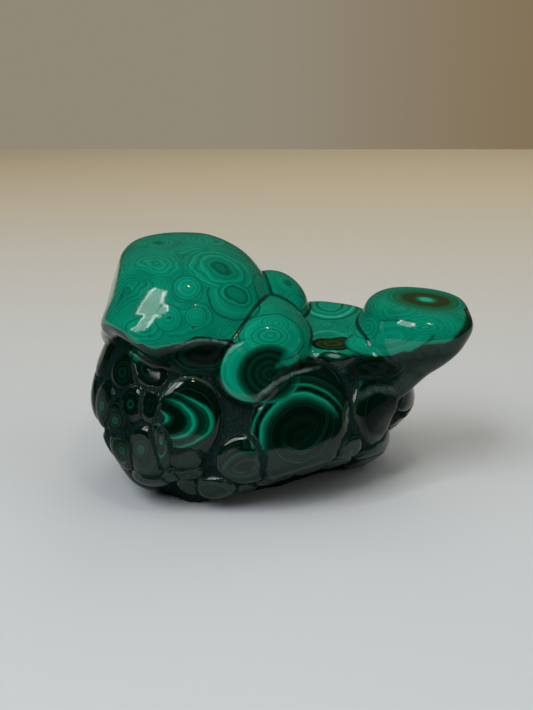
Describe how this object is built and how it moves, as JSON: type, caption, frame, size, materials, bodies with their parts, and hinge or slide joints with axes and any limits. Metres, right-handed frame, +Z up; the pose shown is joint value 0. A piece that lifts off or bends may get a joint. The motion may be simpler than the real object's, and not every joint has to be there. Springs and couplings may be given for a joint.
{
  "type": "polished malachite specimen",
  "caption": "Freeform polished malachite stone with a tall domed crown, a saddle, a raised tip and a face of fused rounded lobes; stands on a flat ground base.",
  "frame": {"origin": "on the resting surface, at the middle of the bounding box seen from above", "axes": "+X along the stone, from the tall crown towards the raised tip; +Y from the lobed front face towards the back; +Z up"},
  "size_m": [0.1194, 0.0698, 0.0782],
  "materials": {
    "malachite": "polished stone, banded light and dark green, with dull blackish green matrix between the lobes"
  },
  "bodies": {
    "root": {"malachite": "malachite"}
  },
  "joints": []
}
